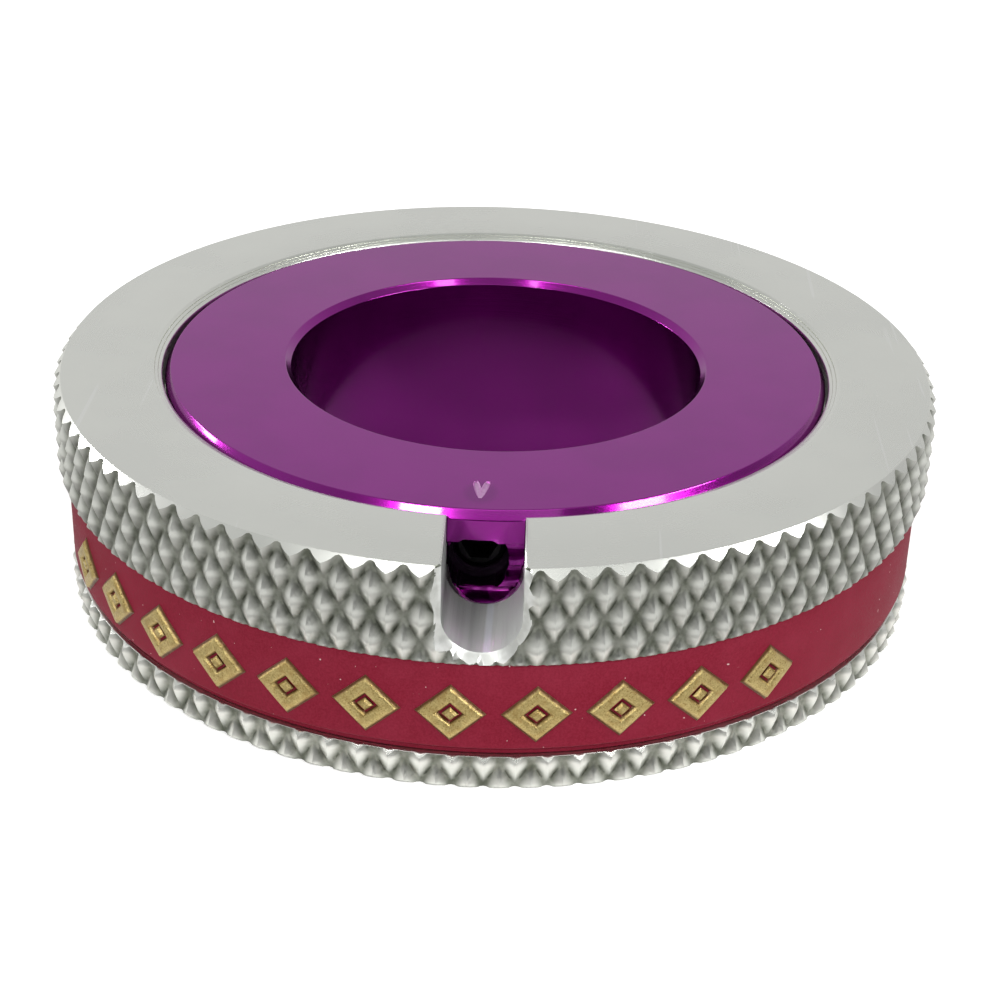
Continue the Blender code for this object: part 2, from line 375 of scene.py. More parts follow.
def build_ring():
    """Knurled ring with its band groove, recess, thread and key slot."""
    low, high = node_levels("knurled_ring")
    outer = node_radius("knurled_ring")
    skirt = node_inner_radius("knurled_ring")
    band_low, band_high = node_levels("grip_band")
    groove_radius = node_inner_radius("grip_band") - BAND_CLEARANCE
    groove_low = band_low - BAND_CLEARANCE
    groove_high = band_high + BAND_CLEARANCE
    columns = KNURL_TEETH * COLUMNS_PER_TOOTH
    angle = np.arange(columns) * math.tau / columns
    knurl_row = knurl_lead(outer) / COLUMNS_PER_TOOTH
    edge = (EDGE_CHAMFER_WIDTH, EDGE_CHAMFER_DEPTH)
    land_edge = (LAND_EDGE_WIDTH, LAND_EDGE_DEPTH)
    foot_edge = (FOOT_EDGE_CHAMFER, FOOT_EDGE_CHAMFER)

    def land(crest, start, end, low_chamfer, high_chamfer):
        """Rows of a knurled land, from its lower chamfer to its upper one.

        The rows between lie where the grooves cross columns, and one follows the line where
        the teeth run out on the upper chamfer.
        """
        first, last = start + low_chamfer[1], end - high_chamfer[1]
        crossings = np.arange(math.ceil(first / knurl_row), last / knurl_row) * knurl_row
        clear = (crossings > first + knurl_row / 3) & (crossings < last - knurl_row / 3)
        rows = []
        for z in steps(start, first, CHAMFER_ROW):
            drop = (first - z) * low_chamfer[0] / low_chamfer[1]
            rows.append((np.minimum(knurl_radius(crest, angle, z), crest - drop), z))
        for z in crossings[clear]:
            rows.append((knurl_radius(crest, angle, z), z))
        meets = np.full(columns, last + 0.02 * MM)
        for z in steps(last, end - 0.03 * MM, 0.004 * MM):
            under = knurl_radius(crest, angle, z) < cone_radius(crest, end, *high_chamfer, z)
            meets = np.where(under, np.maximum(meets, z), meets)
        for share in (0.0, 0.25, 0.5, 0.75, 1.0):
            z = last + (meets - last) * share
            cone = cone_radius(crest, end, *high_chamfer, z)
            rows.append((np.minimum(knurl_radius(crest, angle, z), cone) if share < 1 else cone, z))
        for share in (0.5, 1.0):
            z = meets + (end - meets) * share
            rows.append((cone_radius(crest, end, *high_chamfer, z), z))
        return rows

    recess_floor = high - RECESS_DEPTH
    rows = [(skirt + FOOT_CHAMFER, low), (outer - 3.0 * MM, low), (outer - 1.5 * MM, low)]
    rows += land(outer - LOWER_LAND_SET_IN, low, groove_low, foot_edge, land_edge)
    rows += [(outer - 1.5 * MM, groove_low), (groove_radius, groove_low)]
    rows += [(groove_radius, groove_high), (outer - 1.2 * MM, groove_high)]
    rows += land(outer, groove_high, high, land_edge, edge)
    rows += [(outer - EDGE_CHAMFER_WIDTH - 0.06 * MM, high), (outer - 3.0 * MM, high)]
    wander = MOUTH_WANDER * sum(
        np.sin(angle * waves + waves * waves) / (i + 1.5) for i, waves in enumerate(MOUTH_WAVES)
    )
    rows += [(MOUTH_RADIUS + wander + 0.08 * MM, high), (MOUTH_RADIUS + wander, high - 0.012 * MM)]
    for share, groove in MOUTH_RINGS:
        radius = MOUTH_RADIUS + (RECESS_RADIUS - MOUTH_RADIUS) * share
        rows.append((radius + groove, high - MOUTH_DEPTH * share - groove))
    for below_mouth in (0.03 * MM, 0.1 * MM):
        rows.append((RECESS_RADIUS, high - MOUTH_DEPTH - below_mouth))
    rows.append((RECESS_RADIUS, recess_floor))
    internal_crest = THREAD_CREST + THREAD_CLEARANCE
    internal_root = THREAD_ROOT + THREAD_CLEARANCE
    rows += [(internal_crest, recess_floor - 0.02 * MM)]
    for z in steps(recess_floor - 0.1 * MM, THREAD_FLOOR, THREAD_ROW * 2.5):
        rows.append((thread_radius(internal_crest, internal_root, THREAD_PITCH, angle, z), z))
    rows += [(skirt, THREAD_FLOOR - 0.05 * MM), (skirt, low + FOOT_CHAMFER)]
    ring = turned("knurled_ring_body", rows, columns)
    cut(ring, slot_cutter(outer, high))
    shade(ring.data, RING_SMOOTH_ANGLE)
    paint_ring(ring.data, outer, high, (
        (outer, high, *edge), (outer - LOWER_LAND_SET_IN, groove_low, *land_edge),
    ))
    return ring


def face_table(mesh):
    """Centre and normal of every face, as arrays."""
    count = len(mesh.polygons)
    centres = np.empty(count * 3)
    normals = np.empty(count * 3)
    mesh.polygons.foreach_get("center", centres)
    mesh.polygons.foreach_get("normal", normals)
    return centres.reshape(-1, 3), normals.reshape(-1, 3)


def paint_ring(mesh, outer, top, chamfers):
    """Choose each face's finish: turned, knurled, milled or burnished."""
    centres, normals = face_table(mesh)
    radius = np.hypot(centres[:, 0], centres[:, 1])
    turn = -(SLOT_ANGLE + math.pi / 2)
    across = centres[:, 0] * math.cos(turn) - centres[:, 1] * math.sin(turn)
    along = centres[:, 0] * math.sin(turn) + centres[:, 1] * math.cos(turn)
    half = SLOT_WIDTH / 2
    middle = top - SLOT_DEPTH + half
    from_middle = np.where(
        centres[:, 2] > middle, np.abs(across), np.hypot(across, centres[:, 2] - middle)
    )
    finish = np.zeros(len(centres), dtype=np.int32)
    knurled = radius > outer - LOWER_LAND_SET_IN - KNURL_DEPTH - 0.08 * MM
    finish[knurled & (np.abs(normals[:, 2]) < 0.95)] = 1
    for crest, level, width, depth in chamfers:
        on_cone = radius > cone_radius(crest, level, width, depth, centres[:, 2]) - 0.006 * MM
        finish[on_cone & (centres[:, 2] < level) & (centres[:, 2] > level - depth)] = 0
    flare = np.abs(along) - (outer - SLOT_FLARE)
    on_flare = (along < 0) & (flare > 0) & (np.abs(from_middle - half - flare) < 0.04 * MM)
    finish[on_flare & (centres[:, 2] > top - SLOT_DEPTH - SLOT_FLARE - 0.3 * MM)] = 3
    finish[(along < 0) & (from_middle < half + 0.03 * MM) & (radius > RECESS_RADIUS - 1.5 * MM)
           & (centres[:, 2] > top - SLOT_DEPTH - 0.03 * MM)] = 2
    mesh.polygons.foreach_set("material_index", finish)


def slot_cutter(outer, top):
    """U-shaped cutter, flared where it leaves the knurl and where it meets the top face."""
    half = SLOT_WIDTH / 2
    centre = top - SLOT_DEPTH + half

    def outline(grow, y, fall=0.0):
        points = []
        arc = 32
        for i in range(arc + 1):
            a = math.pi + math.pi * i / arc
            x = (half + grow) * math.cos(a)
            points.append((x, centre + (half + grow) * math.sin(a) * (1 + fall / half)))
        points += [(half + grow, top - SLOT_TOP_FLARE)]
        points += [(half + grow + 2 * MM + SLOT_TOP_FLARE, top + 2 * MM)]
        points += [(-half - grow - 2 * MM - SLOT_TOP_FLARE, top + 2 * MM)]
        points += [(-half - grow, top - SLOT_TOP_FLARE)]
        return [(x, y, z) for x, z in points]

    reach = 2 * MM
    loops = [
        outline(0.0, -(THREAD_ROOT - reach), SLOT_INNER_FALL * 2.2),
        outline(0.0, -SLOT_INNER_END),
        outline(0.0, -(outer - SLOT_FLARE)),
        outline(SLOT_FLARE + reach, -(outer + reach)),
    ]
    cutter = loft("slot_cutter", loops)
    cutter.rotation_euler = (0, 0, SLOT_ANGLE + math.pi / 2)
    bpy.context.view_layer.update()
    return cutter


# ---------------------------------------------------------------- the hub

def build_hub():
    """Anodised hub: bore, faces, rim, thread, skirt, screw hole and arrow mark."""
    low, high = node_levels("threaded_hub")
    rim = node_radius("threaded_hub")
    bore = node_inner_radius("threaded_hub")
    cord_low, cord_high = node_levels("friction_ring")
    columns = HUB_COLUMNS
    angle = np.arange(columns) * math.tau / columns
    rim_floor = high - RIM_DEPTH
    rows = filleted([
        (bore + BORE_CHAMFER, low),
        (SKIRT_RADIUS - SKIRT_CHAMFER, low),
        (SKIRT_RADIUS, low + SKIRT_CHAMFER),
        (SKIRT_RADIUS, cord_low - CORD_CLEARANCE),
        (CORD_GROOVE_RADIUS, cord_low - CORD_CLEARANCE),
        (CORD_GROOVE_RADIUS, cord_high + CORD_CLEARANCE),
        (SKIRT_RADIUS, cord_high + CORD_CLEARANCE),
        (SKIRT_RADIUS, HUB_THREAD_FLOOR - 0.1 * MM),
    ], EDGE_FILLET)
    for z in steps(HUB_THREAD_FLOOR, rim_floor - 0.12 * MM, THREAD_ROW):
        fade = min(1.0, (z - HUB_THREAD_FLOOR) / (0.6 * MM))
        radius = thread_radius(THREAD_CREST, THREAD_ROOT, THREAD_PITCH, angle, z)
        rows.append((SKIRT_RADIUS + (radius - SKIRT_RADIUS) * fade, z))
    rows.append((THREAD_ROOT, rim_floor - 0.08 * MM))
    rows += filleted([
        (THREAD_ROOT, rim_floor),
        (rim, rim_floor),
        (rim, high - RIM_CHAMFER_DEPTH),
        (rim - RIM_CHAMFER_WIDTH, high),
        (bore + BORE_CHAMFER, high),
        (bore, high - BORE_CHAMFER),
        (bore, low + BORE_CHAMFER),
        (bore + BORE_CHAMFER, low),
    ], EDGE_FILLET)[:-1]
    hub = turned("hub_body", rows, columns)
    cut(hub, hole_cutter(bore, rim), *arrow_cutters(high))
    shade(hub.data)
    paint_hub(hub.data, bore, high)
    return hub


def paint_hub(mesh, bore, top):
    """Choose each face's finish: anodised, hole wall or engraved."""
    centres, normals = face_table(mesh)
    middle = (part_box("set_screw")[0].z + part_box("set_screw")[1].z) / 2
    from_axis = np.hypot(centres[:, 0], centres[:, 2] - middle)
    finish = np.zeros(len(centres), dtype=np.int32)
    finish[(centres[:, 1] < 0) & (from_axis < SCREW_HOLE_RADIUS + 0.02 * MM)
           & (-centres[:, 1] > bore + 0.02 * MM)
           & (np.hypot(centres[:, 0], centres[:, 1]) < THREAD_ROOT - 0.02 * MM)] = 1
    finish[(np.abs(centres[:, 0]) < 1 * MM) & (centres[:, 2] > top - 0.4 * MM)
           & (centres[:, 2] < top - 0.005 * MM) & (centres[:, 1] < 0)
           & (np.abs(-centres[:, 1] - ARROW_RADIUS) < ARROW_LENGTH)] = 2
    mesh.polygons.foreach_set("material_index", finish)


def hole_cutter(bore, rim):
    """Tapped radial hole, with a plain wall where it leaves the thread."""
    columns = 96
    angle = np.arange(columns) * math.tau / columns
    wall = SCREW_HOLE_RADIUS - HOLE_INSET
    crest = wall - SCREW_THREAD_DEPTH
    rows = [(crest, bore - 2 * MM)]
    for d in steps(bore - 1 * MM, HOLE_PLAIN_FROM, 0.07 * MM):
        rows.append((thread_radius(wall, crest, SCREW_PITCH, angle, d), d))
    rows += [(wall, HOLE_PLAIN_FROM + 0.1 * MM), (wall, rim + 1 * MM)]
    cutter = turned("hole_cutter", rows, columns, closed=False)
    cutter.matrix_world = screw_axis_matrix()
    bpy.context.view_layer.update()
    return cutter


def screw_axis_matrix():
    """Takes +Z to -Y, at the height of the set screw's axis."""
    low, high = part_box("set_screw")
    middle = (low.z + high.z) / 2
    return Matrix.Translation((0, 0, middle)) @ Matrix.Rotation(math.pi / 2, 4, "X")


def arrow_cutters(top):
    """Two V-grooves that meet in an arrow head pointing out to the set screw."""
    cutters = []
    tip = Vector((0, -(ARROW_RADIUS + ARROW_LENGTH / 2), top))
    for side in (-1, 1):
        tail = Vector((side * ARROW_SPREAD, -(ARROW_RADIUS - ARROW_LENGTH / 2), top))
        along = (tail - tip).normalized()
        across = Vector((-along.y, along.x, 0)) * ARROW_GROOVE / 2
        loops = []
        stations = ((-0.06, 0.55), (0.12, 0.85), (0.5, 1.0), (0.85, 0.95), (1.0, 0.6))
        for place, scale in stations:
            middle = tip.lerp(tail, place)
            lift = Vector((0, 0, 0.1 * MM))
            sink = Vector((0, 0, -ARROW_DEPTH * scale))
            wide = across * scale
            loops.append([
                middle - wide * 1.4 + lift, middle - wide * 0.5 + sink,
                middle + wide * 0.5 + sink, middle + wide * 1.4 + lift,
            ])
        cutters.append(loft(f"arrow_cutter_{side}", loops))
    return cutters


# ---------------------------------------------------------------- band and figures

def band_surface():
    """Radius of the band's outer face."""
    return node_radius("grip_band") + BAND_PROUD


def build_band():
    """Moulded band: a face with rounded edges, and a thin lip under it in the groove."""
    low, high = node_levels("grip_band")
    groove_low = low - BAND_CLEARANCE
    groove_high = high + BAND_CLEARANCE
    face = band_surface()
    inner = node_inner_radius("grip_band") - BAND_CLEARANCE + 0.02 * MM
    foot = groove_low + BAND_FOOT
    top = groove_high - 0.04 * MM
    rows = [(inner, groove_low + 0.03 * MM)]
    for below_face, height in BAND_LIP:
        rows.append((face - below_face, groove_low + height))
    rows.append((face - BAND_LIP[-1][0], foot))
    for i in range(7):
        a = math.pi / 2 * i / 6
        rise = BAND_EDGE * (1 - math.cos(a))
        rows.append((face - BAND_EDGE + BAND_EDGE * math.sin(a), foot + rise))
    for z in steps(foot + BAND_EDGE, top - BAND_EDGE, 0.4 * MM)[1:-1]:
        rows.append((face, z))
    for i in range(7):
        a = math.pi / 2 * i / 6
        rise = BAND_EDGE * math.sin(a)
        rows.append((face - BAND_EDGE + BAND_EDGE * math.cos(a), top - BAND_EDGE + rise))
    rows += [(inner, top)]
    band = turned("band_body", rows, 720)
    shade(band.data)
    return band


def build_figure(node):
    """A raised lozenge frame with a small lozenge in it, curved with the band."""
    low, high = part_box(node)
    middle = (low + high) / 2
    angle = math.atan2(middle.y, middle.x)
    half_height = (high.z - low.z) / 2
    half_width = FIGURE_WIDTH / 2
    surface = band_surface()
    base = surface - 0.2 * MM
    top = surface + FIGURE_RISE
    inradius = half_width * half_height / math.hypot(half_width, half_height)

    def shrink(distance):
        return 1 - distance / inradius

    def loop(bm, scale, radius):
        """Points along a lozenge's sides, evenly enough to follow the band."""
        corners = [(1, 0), (0, 1), (-1, 0), (0, -1)]
        points = []
        for (u0, v0), (u1, v1) in zip(corners, corners[1:] + corners[:1]):
            for i in range(6):
                t = i / 6
                u = (u0 + (u1 - u0) * t) * scale * half_width
                v = (v0 + (v1 - v0) * t) * scale * half_height
                a = angle + u / radius
                points.append(bm.verts.new(
                    (radius * math.cos(a), radius * math.sin(a), middle.z + v)
                ))
        return points

    bm = bmesh.new()
    inner_scale = shrink(FIGURE_STROKE)
    spec = [
        (shrink(-FIGURE_SKIRT), base),
        (shrink(-FIGURE_SKIRT), surface + 0.02 * MM),
        (1.0, top - FIGURE_BEVEL),
        (shrink(FIGURE_BEVEL * 0.35), top - FIGURE_BEVEL * 0.4),
        (shrink(FIGURE_BEVEL), top),
        (shrink(FIGURE_STROKE - FIGURE_BEVEL), top),
        (shrink(FIGURE_STROKE - FIGURE_BEVEL * 0.35), top - FIGURE_BEVEL * 0.4),
        (inner_scale, top - FIGURE_BEVEL),
        (shrink(FIGURE_STROKE + FIGURE_SKIRT * 0.6), surface + 0.02 * MM),
        (shrink(FIGURE_STROKE + FIGURE_SKIRT * 0.6), base),
    ]
    rings = [loop(bm, scale, radius) for scale, radius in spec]
    skin(bm, rings + rings[:1])
    core = [
        (FIGURE_CORE, base),
        (FIGURE_CORE, top - FIGURE_BEVEL),
        (FIGURE_CORE * 0.6, top),
    ]
    rings = [loop(bm, scale, radius) for scale, radius in core]
    skin(bm, rings)
    bm.faces.new(rings[0])
    bm.faces.new(rings[-1])
    bmesh.ops.recalc_face_normals(bm, faces=bm.faces)
    mesh = bpy.data.meshes.new(node + "_relief")
    bm.to_mesh(mesh)
    bm.free()
    shade(mesh)
    return new_object(node + "_relief", mesh)


# ---------------------------------------------------------------- hidden pieces

def build_friction_ring():
    """Smooth cord ring."""
    low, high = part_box("friction_ring")
    radius = (high.z - low.z) / 2
    centre = high.x - radius
    middle = (high.z + low.z) / 2
    rows = []
    for i in range(24):
        a = math.tau * i / 24
        rows.append((centre + radius * math.cos(a), middle + radius * math.sin(a)))
    ring = turned("friction_ring_body", rows, 288)
    shade(ring.data)
    return ring


def build_screw():
    """Threaded set screw with a hexagonal socket."""
    low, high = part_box("set_screw")
    inner_end = -high.y
    outer_end = -low.y
    crest = (high.x - low.x) / 2 + 0.05 * MM
    root = crest - SCREW_THREAD_DEPTH
    columns = 96
    angle = np.arange(columns) * math.tau / columns
    rows = [(root - 0.2 * MM, inner_end), (root, inner_end + 0.1 * MM)]
    for d in steps(inner_end + 0.15 * MM, outer_end - 0.15 * MM, 0.06 * MM):
        fade = min(1.0, (d - inner_end) / (0.5 * MM), (outer_end - d) / (0.4 * MM))
        radius = thread_radius(crest, root, SCREW_PITCH, angle, d)
        rows.append((root + (radius - root) * fade, d))
    rows += [(root, outer_end - 0.08 * MM), (root - 0.12 * MM, outer_end)]
    screw = turned("set_screw_body", rows, columns, closed=False)
    screw.data.transform(screw_axis_matrix())
    socket = []
    for y in (-(outer_end - SOCKET_DEPTH), -(outer_end + 0.5 * MM)):
        corner = SOCKET_FLATS / math.sqrt(3)
        middle = (low.z + high.z) / 2
        socket.append([
            (corner * math.cos(math.tau * i / 6), y, middle + corner * math.sin(math.tau * i / 6))
            for i in range(6)
        ])
    cut(screw, loft("socket_cutter", socket))
    shade(screw.data)
    return screw


def build_pad():
    """Turned pad with a slightly domed nose."""
    low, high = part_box("brass_pad")
    nose = -high.y
    back = -low.y
    radius = (high.x - low.x) / 2
    rows = [(radius * 0.35, nose + 0.01 * MM), (radius * 0.65, nose + 0.05 * MM)]
    rows += [(radius - 0.25 * MM, nose + 0.14 * MM), (radius, nose + 0.4 * MM)]
    rows += [(radius, back - 0.1 * MM), (radius - 0.1 * MM, back)]
    pad = turned("brass_pad_body", rows, 64, closed=False)
    pad.data.transform(screw_axis_matrix())
    shade(pad.data)
    return pad


# ---------------------------------------------------------------- materials

class Finish:
    """A Principled material whose inputs are driven by nodes; lengths in its nodes are millimetres."""

    def __init__(self, name, colour, roughness, metallic):
        self.material = bpy.data.materials.new(name)
        self.material.use_nodes = True
        self.tree = self.material.node_tree
        self.shader = self.tree.nodes["Principled BSDF"]
        self.set("Base Color", colour)
        self.set("Roughness", roughness)
        self.set("Metallic", metallic)
        coordinates = self.tree.nodes.new("ShaderNodeTexCoord")
        scaled = self.tree.nodes.new("ShaderNodeVectorMath")
        scaled.operation = "SCALE"
        scaled.inputs["Scale"].default_value = 1 / MM
        self.plug(coordinates.outputs["Object"], scaled.inputs[0])
        self.position = scaled.outputs[0]
        split = self.tree.nodes.new("ShaderNodeSeparateXYZ")
        self.plug(self.position, split.inputs[0])
        self.x, self.y, self.z = split.outputs
        self.radius = self.math("SQRT", self.math(
            "ADD", self.math("MULTIPLY", self.x, self.x), self.math("MULTIPLY", self.y, self.y)
        ))
        self.angle = self.math("ARCTAN2", self.y, self.x)

    def plug(self, value, socket):
        """Link a node's output to an input, or write a plain value into it."""
        if isinstance(value, bpy.types.NodeSocket):
            self.tree.links.new(value, socket)
        elif isinstance(value, tuple) and len(value) == 3 and socket.type == "RGBA":
            socket.default_value = (*value, 1.0)
        else:
            socket.default_value = value

    def set(self, name, value):
        """Drive one of the shader's inputs."""
        self.plug(value, self.shader.inputs[name])

    def math(self, operation, a, b=0.0):
        node = self.tree.nodes.new("ShaderNodeMath")
        node.operation = operation
        for value, socket in zip((a, b), node.inputs):
            self.plug(value, socket)
        return node.outputs[0]

    def combine(self, x, y, z):
        node = self.tree.nodes.new("ShaderNodeCombineXYZ")
        for value, socket in zip((x, y, z), node.inputs):
            self.plug(value, socket)
        return node.outputs[0]

    def ramp(self, value, low, high, start=0.0, end=1.0):
        """Smooth change from start to end as value goes from low to high."""
        node = self.tree.nodes.new("ShaderNodeMapRange")
        node.interpolation_type = "SMOOTHSTEP"
        for item, socket in zip((value, low, high, start, end), node.inputs):
            self.plug(item, socket)
        return node.outputs[0]

    def noise(self, where, scale, detail=2.0, roughness=0.5):
        """Noise between about 0 and 1. A single number as its place makes it one-dimensional."""
        node = self.tree.nodes.new("ShaderNodeTexNoise")
        flat = isinstance(where, bpy.types.NodeSocket) and where.type == "VALUE"
        node.noise_dimensions = "1D" if flat else "3D"
        self.plug(where, node.inputs["W" if flat else "Vector"])
        node.inputs["Scale"].default_value = scale
        node.inputs["Detail"].default_value = detail
        node.inputs["Roughness"].default_value = roughness
        return node.outputs["Fac"]

    def mix(self, factor, a, b):
        """Mix of two colours."""
        node = self.tree.nodes.new("ShaderNodeMix")
        node.data_type = "RGBA"
        self.plug(factor, node.inputs["Factor"])
        self.plug(a, node.inputs[MIX_COLOUR_A])
        self.plug(b, node.inputs[MIX_COLOUR_B])
        return node.outputs[MIX_COLOUR_OUT]

    def bump(self, height, depth, normal=None):
        """Bump of the given depth in millimetres, on top of another one if there is one."""
        node = self.tree.nodes.new("ShaderNodeBump")
        node.inputs["Strength"].default_value = 1.0
        node.inputs["Distance"].default_value = depth * MM
        self.plug(height, node.inputs["Height"])
        if normal is not None:
            self.plug(normal, node.inputs["Normal"])
        self.set("Normal", node.outputs[0])
        return node.outputs[0]

    def lathe_marks(self, pitch):
        """Fine rings left by a turning tool on faces, cylinders and chamfers alike."""
        return self.noise(self.math("ADD", self.radius, self.z), 1 / pitch, 3.0, 0.6)

    def scratches(self, scale, threshold, turn):
        """Sparse thin lines in one direction: 1 in a scratch, 0 elsewhere."""
        node = self.tree.nodes.new("ShaderNodeMapping")
        node.inputs["Rotation"].default_value = (0, 0, turn)
        node.inputs["Scale"].default_value = (scale, scale / 40, scale)
        self.plug(self.position, node.inputs["Vector"])
        return self.ramp(self.noise(node.outputs[0], 1.0, 1.0), threshold, threshold + 0.03)


def turned_aluminium():
    """Bright turned aluminium: fine rings, a few hairline scratches and faint smears."""
    f = Finish("turned_aluminium", (0.88, 0.89, 0.865), 0.26, 1.0)
    marks = f.lathe_marks(0.16)
    smear = f.noise(f.position, 0.16, 3.0)
    hair = f.math("MAXIMUM", f.scratches(2.2, 0.74, 0.5), f.scratches(1.7, 0.75, -0.9))
    tone = f.mix(f.ramp(smear, 0.3, 0.7), (0.82, 0.83, 0.785), (0.86, 0.87, 0.82))
    f.set("Base Color", f.mix(f.math("MULTIPLY", hair, 0.35), tone, (0.97, 0.97, 0.96)))
    rough = f.math("ADD", f.ramp(smear, 0.25, 0.75, 0.21, 0.29), f.math("MULTIPLY", marks, 0.06))
    f.set("Roughness", rough)
    f.bump(f.math("SUBTRACT", marks, hair), 0.0018)
    return f.material


def knurled_aluminium(outer, band_middle):
    """Knurled aluminium: polished crests, grooves painted darker as shade the deeper they go, with
    fine drawn lines along both helices.
    """
    f = Finish("knurled_aluminium", (0.8, 0.8, 0.78), 0.3, 1.0)
    outer_mm = outer / MM
    lower = f.math("LESS_THAN", f.z, band_middle / MM)
    crest = f.math("SUBTRACT", outer_mm, f.math("MULTIPLY", lower, LOWER_LAND_SET_IN / MM))
    depth = f.math("SUBTRACT", crest, f.radius)
    # painted shade: the colour darkens with depth into the grooves
    groove_shade = f.ramp(depth, 0.12, KNURL_DEPTH / MM)
    lead = knurl_lead(outer) / MM
    across = f.math("MULTIPLY", f.angle, KNURL_TEETH / math.tau)
    along = f.math("MULTIPLY", f.z, 1 / lead)
    lines = f.math(
        "MULTIPLY",
        f.noise(f.math("ADD", across, along), 9.0, 2.0),
        f.noise(f.math("SUBTRACT", across, along), 9.0, 2.0),
    )
    patch = f.noise(f.position, 1.1, 3.0)
    # the groove colour is painted shade, with random patches in it
    groove = f.mix(f.ramp(patch, 0.3, 0.7), (0.13, 0.14, 0.11), (0.34, 0.35, 0.31))
    f.set("Base Color", f.mix(groove_shade, (0.79, 0.80, 0.76), groove))
    rough = f.math("ADD", f.ramp(groove_shade, 0.0, 1.0, 0.29, 0.33), f.math("MULTIPLY", patch, 0.08))
    f.set("Roughness", rough)
    grain = f.noise(f.position, 6.0, 2.0)
    f.bump(grain, 0.005, f.bump(lines, 0.02))
    return f.material


def burnished_aluminium():
    """The slot's bevel, rubbed smooth and bright."""
    f = Finish("burnished_aluminium", (0.9, 0.91, 0.88), 0.3, 1.0)
    wear = f.noise(f.position, 0.9, 3.0)
    f.set("Base Color", f.mix(f.ramp(wear, 0.35, 0.65), (0.62, 0.63, 0.60), (0.82, 0.83, 0.81)))
    f.set("Metallic", 0.75)
    f.set("Roughness", f.ramp(wear, 0.3, 0.7, 0.30, 0.44))
    f.bump(wear, 0.01)
    return f.material


def milled_aluminium():
    """Milled slot walls: satin grey, with streaks along the cutter's path, painted light towards one
    side and a painted lamp highlight as a bright stripe on the floor.
    """
    f = Finish("milled_aluminium", (0.6, 0.6, 0.58), 0.4, 0.55)
    across = f.combine(f.x, 0.0, f.z)
    streaks = f.noise(across, 5.0, 3.0, 0.7)
    broad = f.noise(across, 1.1, 1.0)
    tone = f.mix(f.ramp(broad, 0.35, 0.65), (0.30, 0.31, 0.30), (0.52, 0.53, 0.52))
    from_glint = f.math("ABSOLUTE", f.math("SUBTRACT", f.x, PAINTED_GLINT_STRIPE / MM))
    # painted light: lighter towards the +x side of the slot
    tone = f.mix(f.ramp(f.x, 0.0, 1.5, 0.0, 0.85), tone, (0.95, 0.96, 0.94))
    # painted highlight: a bluish-white lamp glint as a stripe along the floor
    tone = f.mix(f.ramp(from_glint, 0.30, 0.12, 0.0, 0.8), tone, (0.90, 0.93, 0.98))
    f.set("Base Color", tone)
    f.set("Roughness", f.ramp(streaks, 0.3, 0.7, 0.30, 0.46))
    chatter = f.noise(f.position, 4.0, 2.0)
    f.bump(chatter, 0.01, f.bump(streaks, 0.05))
    return f.material


def purple_anodised():
    """Dyed anodised aluminium: coloured metal under a clear oxide coat."""
    f = Finish("purple_anodised", (0.33, 0.006, 0.31), 0.2, 1.0)
    cloud = f.noise(f.position, 0.22, 3.0)
    marks = f.lathe_marks(0.12)
    tone = f.mix(f.ramp(cloud, 0.3, 0.7), (0.285, 0.005, 0.27), (0.315, 0.006, 0.295))
    from_mark = f.math("SQRT", f.math(
        "ADD",
        f.math("POWER", f.math("DIVIDE", f.x, 1.0), 2.0),
        f.math("POWER", f.math("DIVIDE", f.math("ADD", f.y, ARROW_RADIUS / MM + 0.45), 1.35), 2.0),
    ))
    # the face is painted darker in a patch round the arrow mark
    mark_halo = f.ramp(from_mark, 0.7, 1.3, 0.28, 0.0)
    f.set("Base Color", f.mix(mark_halo, tone, (0.10, 0.002, 0.12)))
    rough = f.math("ADD", f.ramp(cloud, 0.3, 0.7, 0.13, 0.17), f.math("MULTIPLY", marks, 0.04))
    f.set("Roughness", rough)
    f.set("Coat Weight", 0.25)
    f.set("Coat IOR", 2.0)
    f.set("Coat Roughness", 0.07)
    grain = f.noise(f.position, 9.0, 2.0)
    f.bump(grain, 0.0012, f.bump(marks, 0.0016))
    return f.material


def hole_wall():
    """The tapped hole's dark inside: thin dye, cutting oil and shadow."""
    f = Finish("hole_wall", (0.01, 0.001, 0.012), 0.55, 0.8)
    grime = f.noise(f.position, 3.0, 3.0)
    f.set("Base Color", f.mix(grime, (0.003, 0.001, 0.004), (0.014, 0.001, 0.016)))
    f.set("Roughness", f.ramp(grime, 0.3, 0.7, 0.45, 0.7))
    f.bump(grime, 0.02)
    return f.material


def engraved_mark():
    """Strokes engraved after dyeing: paler than the face round them."""
    f = Finish("engraved_mark", (0.72, 0.36, 0.70), 0.32, 1.0)
    burr = f.noise(f.position, 6.0, 2.0)
    f.set("Base Color", f.mix(burr, (0.62, 0.22, 0.60), (0.85, 0.58, 0.82)))
    f.bump(burr, 0.02)
    return f.material


def maroon_rubber():
    """Moulded rubber: satin, with a fine grain, faint bloom and specks of dust."""
    f = Finish("maroon_rubber", (0.2, 0.02, 0.045), 0.5, 0.0)
    grain = f.noise(f.position, 7.0, 3.0, 0.65)
    bloom = f.noise(f.position, 0.25, 2.0)
    tone = f.mix(f.ramp(grain, 0.3, 0.7), (0.150, 0.006, 0.018), (0.192, 0.011, 0.028))
    tone = f.mix(f.ramp(bloom, 0.35, 0.75, 0.0, 0.22), tone, (0.25, 0.028, 0.055))
    specks = f.ramp(f.noise(f.position, 4.5, 0.0), 0.86, 0.88)
    f.set("Base Color", f.mix(f.math("MULTIPLY", specks, 0.7), tone, (0.62, 0.45, 0.45)))
    f.set("Roughness", f.ramp(grain, 0.3, 0.7, 0.44, 0.58))
    f.set("Specular IOR Level", 0.07)
    f.bump(grain, 0.012)
    return f.material


